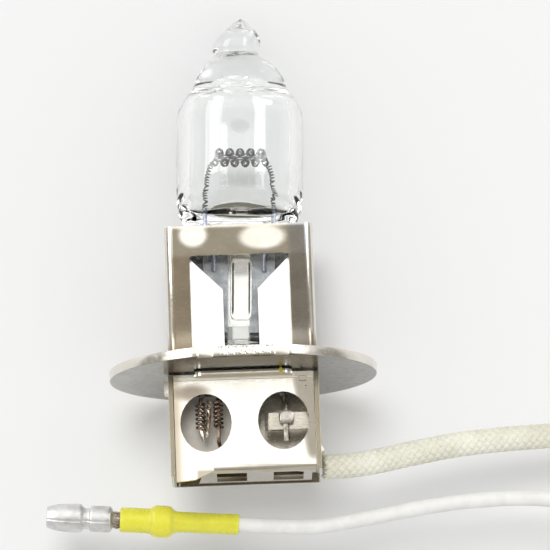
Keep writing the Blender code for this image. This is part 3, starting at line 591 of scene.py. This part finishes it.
def monotone(x, y, at):
    """Piecewise cubic through the points that never overshoots them."""
    h, d = np.diff(x), np.diff(y) / np.diff(x)
    m = np.zeros(len(x))
    m[0], m[-1] = d[0], d[-1]
    for i in range(1, len(x) - 1):
        if d[i - 1] * d[i] > 0:
            w1, w2 = 2 * h[i] + h[i - 1], h[i] + 2 * h[i - 1]
            m[i] = (w1 + w2) / (w1 / d[i - 1] + w2 / d[i])
    k = np.clip(np.searchsorted(x, at, side="right") - 1, 0, len(x) - 2)
    t = (at - x[k]) / h[k]
    return ((2 * t ** 3 - 3 * t ** 2 + 1) * y[k] + (t ** 3 - 2 * t ** 2 + t) * h[k] * m[k]
            + (3 * t ** 2 - 2 * t ** 3) * y[k + 1] + (t ** 3 - t ** 2) * h[k] * m[k + 1])


def swelling(table, k, at):
    """A column against height, averaged where the shoulders swell, as ripples there would bend the view."""
    reach = 0.55 / (1 + np.exp(-(at - 13.9) / 0.12)) / (1 + np.exp((at - 21.0) / 0.15))
    steps = np.linspace(-2, 2, 17)
    weights = np.exp(-steps ** 2 / 2)
    return sum(w * monotone(table[:, 0], table[:, k], np.clip(at + reach * o, table[0, 0], table[-1, 0]))
               for w, o in zip(weights / weights.sum(), steps))


def rounded_skin(sections, per_span, sides, seal=False):
    """A closed skin through the sections. seal=True adds what only the outside has."""
    table = np.array(sections, float)
    z = np.concatenate([np.linspace(a, b, per_span, endpoint=False)
                        for a, b in zip(table[:-1, 0], table[1:, 0])] + [[table[-1, 0]]])
    z = np.unique(np.concatenate([z, np.linspace(*SHOULDERS, 64)]))
    if seal:
        z = np.unique(np.concatenate([z, np.linspace(*SEAL, 90)]))
    wide, deep, power = (swelling(table, k, z) for k in (1, 2, 3))
    a = (np.arange(sides) + 0.5) * 2 * pi / sides
    c, s = np.abs(np.cos(a)), np.abs(np.sin(a))
    r = ((c[None] / wide[:, None]) ** power[:, None] + (s[None] / deep[:, None]) ** power[:, None]) \
        ** (-1 / power[:, None])
    x, y = r * np.cos(a)[None], r * np.sin(a)[None]
    zz = np.repeat(z[:, None], sides, 1)
    if seal:
        # The pressed shoulders are crumpled, and a rib stands on both faces of the seal.
        crush = np.exp(-((zz - 13.2) / 1.15) ** 2) * np.clip(np.abs(x) / 5.2, 0, 1) ** 3
        side = np.sign(x)
        x = x * (1 - 0.050 * crush * (0.5 + 0.5 * np.sin(6.3 * zz + 1.1 * side + 1.6 * y)))
        y = y * (1 - 0.22 * crush * (0.5 + 0.5 * np.cos(4.9 * zz + 2.0 * side + 1.1 * x)))
        rib = (1 / (1 + np.exp((np.abs(x - 0.2) - 0.68) / 0.06)) / (1 + np.exp(-(zz - 4.25) / 0.09))
               / (1 + np.exp((zz - 8.75) / 0.09)))
        y = y + np.sign(y) * 0.35 * rib * (np.abs(y) > 0.9)
        # The tip was drawn off a little to the left before it melted shut.
        x = x - 0.34 * np.exp(-((zz - 27.0) / 1.1) ** 2)
    return skin(np.stack([x, y, zz], 2))


shell_v, shell_f = rounded_skin(OUTER, 6, 256, seal=True)
hollow_v, hollow_f = rounded_skin(INNER, 6, 160)
glass_v, glass_f = gather([(lean(shell_v), shell_f), (lean(hollow_v), [f[::-1] for f in hollow_f])])
glass = piece("quartz_capsule", glass_v, glass_f, QUARTZ)
# The cavity's skin faces inwards, so that the wall between the two skins is the quartz.
bm = bmesh.new()
bm.from_mesh(glass.data)
bm.verts.ensure_lookup_table()
inner_faces = [f for f in bm.faces if f.verts[0].index >= len(shell_v)]
outer_faces = [f for f in bm.faces if f.verts[0].index < len(shell_v)]
bmesh.ops.recalc_face_normals(bm, faces=outer_faces)
bmesh.ops.recalc_face_normals(bm, faces=inner_faces)
bmesh.ops.reverse_faces(bm, faces=inner_faces)
bm.to_mesh(glass.data)
bm.free()
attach(glass, "lamp")
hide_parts("glass_envelope")


# ---------------------------------------------------------------- filament: a coil wound into a coil

COIL_TURNS, COIL_PITCH, COIL_RADIUS, COIL_Z = 5, 0.86, 0.50, 17.75
WINDING_PITCH, WINDING_RADIUS, WINDING_WIRE = 0.25, 0.165, 0.05
half = COIL_TURNS * COIL_PITCH / 2
turns = np.linspace(0, COIL_TURNS, 400)
angle = 2 * pi * turns - pi / 2
coil = np.stack([-half + COIL_PITCH * turns, COIL_RADIUS * np.cos(angle),
                 COIL_Z + COIL_RADIUS * np.sin(angle)], 1)
leg = smooth_path([(-2.75, -0.14, 13.42), (-2.75, -0.14, 14.6), (-2.69, -0.1, 16.0),
                   (-half - 0.27, -0.06, 17.03)])
other = (leg * np.array([-1, 1, 1]))[::-1]
axis_line, run = resample(np.concatenate([leg, coil, other]), 0.014)
leg_length = np.linalg.norm(np.diff(leg, axis=0), axis=1).sum()
# The winding is wider in the coil than in the legs.
in_coil = 1 / (1 + np.exp(-(run - leg_length) / 0.12)) / (1 + np.exp((run - run[-1] + leg_length) / 0.12))
radius = (WINDING_RADIUS + 0.085 * in_coil)[:, None]
_, n, b = frames(axis_line)
phase = 2 * pi * run / WINDING_PITCH
wound = axis_line + radius * (np.cos(phase)[:, None] * n + np.sin(phase)[:, None] * b)
v, f = sweep(wound, WINDING_WIRE, 6)
filament = piece("wound_filament", lean(v), f, TUNGSTEN)
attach(filament, "lamp")
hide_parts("filament")


# ---------------------------------------------------------------- splice windings

WRAP_TURNS, WRAP_PITCH, WRAP_RADIUS, WRAP_WIRE, WRAP_Y = 6, 0.36, 0.32, 0.122, -1.6


def wrapping(x, top, hand):
    t = np.linspace(0, WRAP_TURNS, WRAP_TURNS * 28 + 1)
    return np.stack([x + WRAP_RADIUS * np.cos(2 * pi * t), WRAP_Y + hand * WRAP_RADIUS * np.sin(2 * pi * t),
                     top - WRAP_PITCH * t], 1)


for name, x, top, hand in (("left", -3.6, -3.1, 1), ("right", -2.16, -2.95, -1)):
    v, f = sweep(wrapping(x, top, hand), WRAP_WIRE, 10)
    wrap = piece("splice_coil_" + name, v, f, COPPER)
    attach(wrap, "lamp")
    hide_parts("splice_wrap_" + name)


# ---------------------------------------------------------------- spot weld

def lump(centre, size, power, seed, rows=22, cols=40):
    """A closed superellipsoid with a slightly uneven skin."""
    def soft(v):
        return (abs(v) ** (2 / power)) * (1 if v > 0 else -1)
    rings = []
    for i in range(rows):
        t = pi * (i + 0.5) / rows
        row = []
        for j in range(cols):
            a = 2 * pi * (j + 0.5) / cols
            k = 1 + 0.04 * sin(4 * a + seed) * sin(3 * t) + 0.03 * sin(9 * a + 5 * t + seed)
            row.append((centre[0] + size[0] * soft(sin(t)) * soft(cos(a)) * k,
                        centre[1] + size[1] * soft(sin(t)) * soft(sin(a)) * k,
                        centre[2] + size[2] * soft(cos(t)) * k))
        rings.append(row)
    return skin(np.array(rings))


# The melted metal wraps the wire, within the space the nugget takes.
nugget_low, nugget_high = ((corner - CENTRE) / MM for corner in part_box("weld_nugget"))
middle, extent = (nugget_low + nugget_high) / 2, (nugget_high - nugget_low) / 2
v, f = lump(tuple(middle), (extent.x, extent.y, extent.z * 1.05), 4.0, 0.7)
weld = piece("weld_spot", v, f, WELD)
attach(weld, "lamp")
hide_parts("weld_nugget")


# ---------------------------------------------------------------- braided sleeve

sleeve_run = [(6.4, 1.22, -8.22), (8.2, 1.55, -8.12), (10.2, 2.0, -7.85), (13.5, 2.65, -7.15),
              (16.9, 3.2, -6.5), (20.9, 3.85, -6.02), (24.9, 4.4, -5.75), (31.0, 5.1, -5.35),
              (36.5, 5.45, -5.35)]
CARRIERS, LAY = 7, 4.6      # yarns of each hand, and the length in which one goes round once
CORE, YARN = 0.80, 0.27
line, s = resample(smooth_path(sleeve_run), 0.09)
_, n, b = frames(line)
parts = [sweep(line, CORE, 40)]
for hand in (1, -1):
    for k in range(CARRIERS):
        a = 2 * pi * k / CARRIERS + hand * 2 * pi * s / LAY
        out = np.cos(a)[:, None] * n + np.sin(a)[:, None] * b
        # Yarns of the two hands meet every LAY / (2 * CARRIERS) and pass over and under in turn.
        over = hand * np.cos(CARRIERS * 2 * pi * s / LAY)
        r = CORE + 0.075 + 0.08 * np.tanh(1.6 * over)
        parts.append(sweep(line + r[:, None] * out, YARN, 10, flat=(out, 0.40)))
v, f = gather(parts)
braid = piece("woven_sleeve", v, f, BRAID)
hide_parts("braided_sleeve")
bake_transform(braid)


# ---------------------------------------------------------------- lead and its loop

loop_run = [(40.4, 5.5, -5.85), (43.4, 5.5, -7.1), (45.3, 5.5, -8.9), (45.8, 5.5, -10.4)]
tail_run = [(45.4, 5.5, -12.1), (43.6, 5.5, -13.8), (40.8, 5.5, -14.5), (37.2, 5.5, -14.2),
            (33.0, 5.5, -13.0), (29.0, 5.5, -11.75), (24.6, 5.5, -10.85), (20.1, 5.5, -10.74),
            (15.4, 5.5, -11.1), (9.8, 5.5, -11.95), (6.6, 5.5, -12.4)]
NOSE = np.array([-16.7, 5.5, -10.9])
SLOPE = radians(4.3)
AXIS = np.array([cos(SLOPE), 0.0, -sin(SLOPE)])


def along(distance):
    return NOSE + AXIS * distance


WIRE, STRANDS, STRAND, STRAND_LAY = 0.62, 7, 0.088, 6.0
into_boot = [tuple(along(distance)) for distance in (21.0, 14.0, 8.6)]
lead_points = sleeve_run[1:] + loop_run + tail_run + into_boot
wire_line, s = resample(smooth_path(lead_points), 0.16)
v, f = sweep(wire_line, WIRE + 0.012 * np.sin(1.7 * s) * np.sin(0.43 * s), 28)
coat = piece("lead_insulation", v, f, COAT)
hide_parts("sleeve_insulation", "tail_insulation")
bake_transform(coat)

core_line, s = resample(smooth_path(lead_points[1:] + [tuple(along(5.9))]), 0.16)
_, n, b = frames(core_line)
parts = []
for k in range(STRANDS):
    # The last strand is the middle one.
    off = 0.0 if k == STRANDS - 1 else 0.18
    a = 2 * pi * k / (STRANDS - 1) + 2 * pi * s / STRAND_LAY
    parts.append(sweep(core_line + off * (np.cos(a)[:, None] * n + np.sin(a)[:, None] * b), STRAND, 6))
v, f = gather(parts)
core = piece("lead_strands", v, f, COPPER)
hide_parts("sleeve_conductor", "tail_conductor")
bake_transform(core)


# ---------------------------------------------------------------- small marks on the base

PAINT = vinyl("yellow_paint", (0.80, 0.66, 0.10), (0.62, 0.48, 0.06), 0.5)


def daub(centre, size, seed):
    """An uneven drop."""
    rings = []
    for i in range(15):
        t = pi * (i + 0.5) / 15
        row = []
        for j in range(28):
            a = 2 * pi * j / 28
            rough = 1 + 0.12 * sin(3 * a + seed) + 0.07 * sin(7 * a + 2 * seed)
            row.append((centre[0] + size[0] * sin(t) * cos(a) * rough, centre[1] + size[1] * sin(t) * sin(a),
                        centre[2] + size[2] * cos(t) * rough))
        rings.append(row)
    return skin(np.array(rings))


# The daub sits on the front edge of the cover's lip, just under the flange.
lip_front = (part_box("base_cover")[0].y - CENTRE.y) / MM
v, f = daub((3.05, lip_front - 0.01, -1.12), (0.15, 0.05, 0.26), 1.0)
paint = piece("paint_mark", v, f, PAINT)
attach(paint, "lamp")


def torn_point(u, w):
    """A point of the torn edge, u of the way to the right and w of the way up."""
    x = TORN_LEFT + TORN_WIDTH * u
    tear = (0.5 * sin(23.0 * x + 3.0 * sin(4.1 * x)) + 0.3 * sin(51.0 * x + 9.0 * w + 2.0 * sin(7.0 * x))
            + 0.35 * sin(9.0 * x + 14.0 * w))
    fade = min(1.0, 12 * u, 12 * (1 - u)) * sin(pi * w) ** 0.5
    burr = 0.10 * np.exp(-((w - 0.93) / 0.09) ** 2) * (0.6 + 0.4 * sin(17.0 * x + 2.0 * sin(5.0 * x)))
    return (x, TORN_FRONT - fade * (0.06 + 0.045 * tear) - burr,
            TORN_BOTTOM + TORN_HEIGHT * w + 0.03 * fade * sin(31.0 * x))


def slab(front, depth_y):
    """A closed slab between a grid of points and its flat back."""
    rows, columns = front.shape[:2]
    back = front.copy()
    back[:, :, 1] = depth_y
    size = rows * columns
    faces = [(base + j * columns + i, base + j * columns + i + 1, base + (j + 1) * columns + i + 1,
              base + (j + 1) * columns + i)
             for base in (0, size) for j in range(rows - 1) for i in range(columns - 1)]
    rim = (list(range(columns)) + [j * columns + columns - 1 for j in range(1, rows)]
           + [size - columns + i for i in range(columns - 2, -1, -1)]
           + [j * columns for j in range(rows - 2, 0, -1)])
    faces += [(a, b, b + size, a + size) for a, b in zip(rim, rim[1:] + rim[:1])]
    return np.concatenate([front.reshape(-1, 3), back.reshape(-1, 3)]), faces


# The flange's front edge is torn rather than cut between its two notches.
TORN_LEFT, TORN_WIDTH = -2.08, 4.6
TORN_BOTTOM, TORN_HEIGHT = -0.76, 0.80
TORN_FRONT, TORN_BACK = -10.27, -10.1
columns, rows = 230, 16
edge_grid = np.array([[torn_point(i / (columns - 1), j / (rows - 1)) for i in range(columns)]
                      for j in range(rows)])
v, f = slab(edge_grid, TORN_BACK)
TORN = wire_metal("torn_edge", (0.95, 0.94, 0.90), (0.70, 0.67, 0.61), 0.3, 5.0, 0.03)
torn = piece("sheared_edge", v, f, TORN)
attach(torn, "lamp")


def square_ring(centre, half, wire, steps=48, sides=8):
    """A raised ring with rounded corners, standing on a surface that faces -Y."""
    rings = []
    for k in range(steps):
        a = 2 * pi * k / steps
        out = np.array([cos(a), 0.0, sin(a)])
        corner = (abs(cos(a)) ** 5 + abs(sin(a)) ** 5) ** (-1 / 5)
        rings.append([np.array(centre) + half * corner * out
                      + wire * (cos(t) * out + sin(t) * np.array([0.0, -1.0, 0.0]))
                      for t in np.arange(sides) * 2 * pi / sides])
    faces = [(i * sides + j, i * sides + (j + 1) % sides,
              ((i + 1) % steps) * sides + (j + 1) % sides, ((i + 1) % steps) * sides + j)
             for i in range(steps) for j in range(sides)]
    return np.array(rings).reshape(-1, 3), faces


# Two small press marks near the cover's upper right corner.
STAMP = sheet_metal("stamped_mark", (0.62, 0.59, 0.53), (0.50, 0.47, 0.42), 0.22, metallic=1.0)
COVER_FRONT = -3.1
marks = [square_ring((4.82, COVER_FRONT, -1.42), 0.31, 0.055),
         lump((5.08, COVER_FRONT, -2.25), (0.13, 0.05, 0.13), 2.0, 0.4, 12, 20)]
v, f = gather(marks)
stamp = piece("press_marks", v, f, STAMP.mat)
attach(stamp, "lamp")


# ---------------------------------------------------------------- terminal and boot

def soften(profile, rounds=2):
    """Chaikin's corner cutting on a closed profile."""
    points = np.array(profile, float)
    for _ in range(rounds):
        nxt = np.roll(points, -1, axis=0)
        points = np.stack([0.8 * points + 0.2 * nxt, 0.2 * points + 0.8 * nxt], 1).reshape(-1, 2)
    return points


def rolled(r, d, angle):
    """The strip's two edges meet in a seam, and the tail is pressed into a crimp."""
    seam = np.exp(-((angle - pi * 0.62) / 0.06) ** 2) * (r > 0.75) * 0.07
    crimp = 0.05 * np.sin(d * 5.0) * (1.0 if 5.7 < d < 8.2 and r > 0.5 else 0.0)
    return r - seam + crimp * cos(2 * angle), d


# Radius and distance from the nose: the terminal, then the boot from its own front end.
bullet_profile = [(0.36, 8.4), (0.56, 8.4), (0.56, 5.55), (0.8, 5.45), (1.06, 5.3), (1.1, 5.1), (1.1, 3.75),
                  (1.04, 3.62), (0.88, 3.5), (0.88, 3.1), (1.0, 2.98), (1.18, 2.8), (1.2, 2.3), (1.17, 1.5),
                  (1.08, 0.75), (0.94, 0.25), (0.84, 0.0), (0.6, 0.0), (0.6, 2.4), (0.36, 2.9)]
v, f = turned(soften(bullet_profile), NOSE, AXIS, 112, rolled)
bullet = piece("rolled_bullet", v, f, TIN)
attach(bullet, "tail")
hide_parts("terminal_bullet")

# The strands fan out over the crimp tail before they run back into the wire.
parts = []
FAN_STRANDS = 22
u = np.cross(AXIS, [0.0, 1.0, 0.0])
u /= np.linalg.norm(u)
w = np.cross(AXIS, u)
for k in range(FAN_STRANDS):
    t = np.linspace(0, 1, 26)
    a = 2 * pi * k / FAN_STRANDS + 0.5 * t + 0.09 * np.sin(2.6 * k) * np.sin(3 * t)
    d = 5.52 + 0.95 * t
    flare = 0.10 * np.sin(pi * np.clip(1 - t * 1.6, 0, 1)) * (0.6 + 0.4 * np.sin(4.1 * k))
    r = 0.61 + 0.012 * np.sin(1.9 * k) + flare
    strand = NOSE + AXIS * d[:, None] + r[:, None] * (np.cos(a)[:, None] * u + np.sin(a)[:, None] * w)
    parts.append(sweep(strand, 0.052, 7))
v, f = gather(parts)
fan = piece("crimped_strands", v, f, TWIST)
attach(fan, "tail")

boot_profile = [(0.69, 9.85), (0.84, 9.85), (0.86, 9.7), (0.86, 5.0), (0.92, 4.5), (1.28, 4.15), (1.34, 3.9),
                (1.34, 3.0), (1.28, 2.75), (1.08, 2.55), (1.04, 2.3), (1.04, 0.15), (0.98, 0.0), (0.69, 0.0)]


def moulded(r, d, angle):
    dent = 0.14 * np.exp(-((d - 3.4) / 0.38) ** 2 - ((angle - pi * 1.5) / 0.35) ** 2) * (r > 1.2)
    return r - dent + 0.012 * sin(3 * angle + 1.3 * d) * (r > 0.8), d


BOOT_FRONT = 6.1            # distance of the boot's front end from the nose
v, f = turned(soften(boot_profile), along(BOOT_FRONT), AXIS, 96, moulded)
boot = piece("vinyl_boot", v, f, YELLOW)
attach(boot, "boot")
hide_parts("terminal_boot")


# ---------------------------------------------------------------- table, light and camera

table_normal = Vector((0.0, -20.0, -5.8)).normalized()
bpy.ops.mesh.primitive_plane_add(size=1.6)
floor = bpy.context.object
floor.name = "table_top"
floor.rotation_mode = "QUATERNION"
floor.rotation_quaternion = table_normal.to_track_quat("Z", "Y")
floor.location = Vector(to_frame([0.0, 11.0, 0.0])) - table_normal * 0.3 * MM
m = Mat("table_paper")
m.set(Base_Color=m.mix(m.noise(0.02, 3.0), (0.86, 0.86, 0.86), (0.89, 0.89, 0.885)), Roughness=0.6,
      Normal=m.bump(m.noise(1.5, 4.0), 0.15, 0.02))
paper = m.bsdf.inputs["Base Color"].links[0].from_socket
# Mirrors see it darken to the sides, as the room does.
far = m.remap(m.maths("ABSOLUTE", m.axis("X"), 0.0), 60.0, 190.0)
path = m.new("ShaderNodeLightPath")
m.set(Base_Color=m.mix(m.maths("MULTIPLY", far, path.outputs["Is Glossy Ray"]), paper, (0.33, 0.32, 0.295)))
# It is clear from behind, so that the object's back can be seen.
clear = m.new("ShaderNodeBsdfTransparent")
facing = m.new("ShaderNodeNewGeometry")
mix = m.new("ShaderNodeMixShader")
m.link(facing.outputs["Backfacing"], mix.inputs[0])
m.link(m.bsdf.outputs[0], mix.inputs[1])
m.link(clear.outputs[0], mix.inputs[2])
m.link(mix.outputs[0], m.out.inputs["Surface"])
floor.data.materials.append(m.mat)

world = bpy.data.worlds.new("studio")
bpy.context.scene.world = world
world.use_nodes = True
sky = Nodes(world.node_tree)
coords = sky.new("ShaderNodeTexCoord")
split = sky.new("ShaderNodeSeparateXYZ")
sky.link(coords.outputs["Generated"], split.inputs[0])
# Mirror rays see a white tent with the dim room in front below it, and grey walls far to the sides.
rays = sky.new("ShaderNodeLightPath")
first = sky.maths("LESS_THAN", rays.outputs["Diffuse Depth"], 0.5)
glossy = sky.times(rays.outputs["Is Glossy Ray"], first)
through = sky.times(rays.outputs["Is Transmission Ray"], first)
front = sky.remap(split.outputs["Y"], -0.35, -0.8)
room = sky.times(front, sky.remap(split.outputs["Z"], 0.06, -0.20))
tent = sky.times(front, sky.remap(split.outputs["Z"], 0.0, 0.09))
walls = sky.remap(sky.maths("ABSOLUTE", split.outputs["X"], 0.0), 0.80, 0.97)
AMBIENT, BACKDROP = (0.62, 0.62, 0.62), (0.86, 0.86, 0.86)
colour = sky.mix(sky.maths("MAXIMUM", glossy, through), AMBIENT, BACKDROP)
for share, seen_by, shade in ((tent, glossy, (1.45, 1.44, 1.40)), (walls, glossy, (0.36, 0.35, 0.325)),
                              (walls, through, (0.62, 0.62, 0.615)), (room, glossy, (0.40, 0.365, 0.30)),
                              (room, through, (0.60, 0.58, 0.54))):
    colour = sky.mix(sky.times(share, seen_by), colour, shade)
background = sky.tree.nodes["Background"]
sky.link(colour, background.inputs["Color"])
background.inputs["Strength"].default_value = 1.0

target = Vector(to_frame([0.0, 0.0, 8.0]))


def lamp_at(name, light, azimuth, elevation, distance=0.0):
    """A light that looks at the target from this direction, in degrees round from the front and up."""
    obj = bpy.data.objects.new(name, light)
    a, e = radians(azimuth), radians(elevation)
    away = Vector((sin(a) * cos(e), -cos(a) * cos(e), sin(e)))
    obj.location = target + away * distance
    obj.rotation_mode = "QUATERNION"
    obj.rotation_quaternion = away.to_track_quat("Z", "Y")
    bpy.context.scene.collection.objects.link(obj)
    return obj


def softbox(name, azimuth, wide, tall, power):
    """A lit sheet that only shows in reflections."""
    light = bpy.data.lights.new(name, "AREA")
    light.shape, light.size, light.size_y, light.energy = "RECTANGLE", wide, tall, power
    lamp_at(name, light, azimuth, 12, 0.35).visible_diffuse = False
    # It is not seen by light that the table has already scattered.
    light.use_nodes = True
    glow = Nodes(light.node_tree)
    unscattered = glow.maths("LESS_THAN", glow.new("ShaderNodeLightPath").outputs["Diffuse Depth"], 0.5)
    glow.link(unscattered, light.node_tree.nodes["Emission"].inputs["Strength"])


softbox("left_box", -51, 0.16, 0.34, 0.7)
softbox("right_box", 40, 0.10, 0.30, 0.4)

# A large soft key that only lights what scatters light.
sun = bpy.data.lights.new("key", "SUN")
sun.energy, sun.angle = 1.55, radians(21)
key = lamp_at("key", sun, -5, 9)
key.visible_glossy = key.visible_transmission = False

camera_data = bpy.data.cameras.new("camera")
camera = bpy.data.objects.new("camera", camera_data)
bpy.context.scene.collection.objects.link(camera)
bpy.context.scene.camera = camera
# It looks up a little from the front, and is rolled a little.
elevation, roll = radians(-11.6), radians(-2.0)
back = Vector((0.0, -cos(elevation), sin(elevation)))
level = (-back).cross(Vector((0, 0, 1))).normalized()
up = level.cross(-back)
camera_x = level * cos(roll) + up * sin(roll)
camera_y = up * cos(roll) - level * sin(roll)
spin = Matrix((camera_x, camera_y, back)).transposed()
camera.matrix_world = Matrix.Translation(target + back * 0.4) @ spin.to_4x4()
camera_data.sensor_width = 36.0
camera_data.lens = 316.8
camera_data.shift_x, camera_data.shift_y = 0.0642, -0.0025
camera_data.clip_start, camera_data.clip_end = 0.001, 10.0
bpy.context.scene.view_settings.view_transform = "Standard"
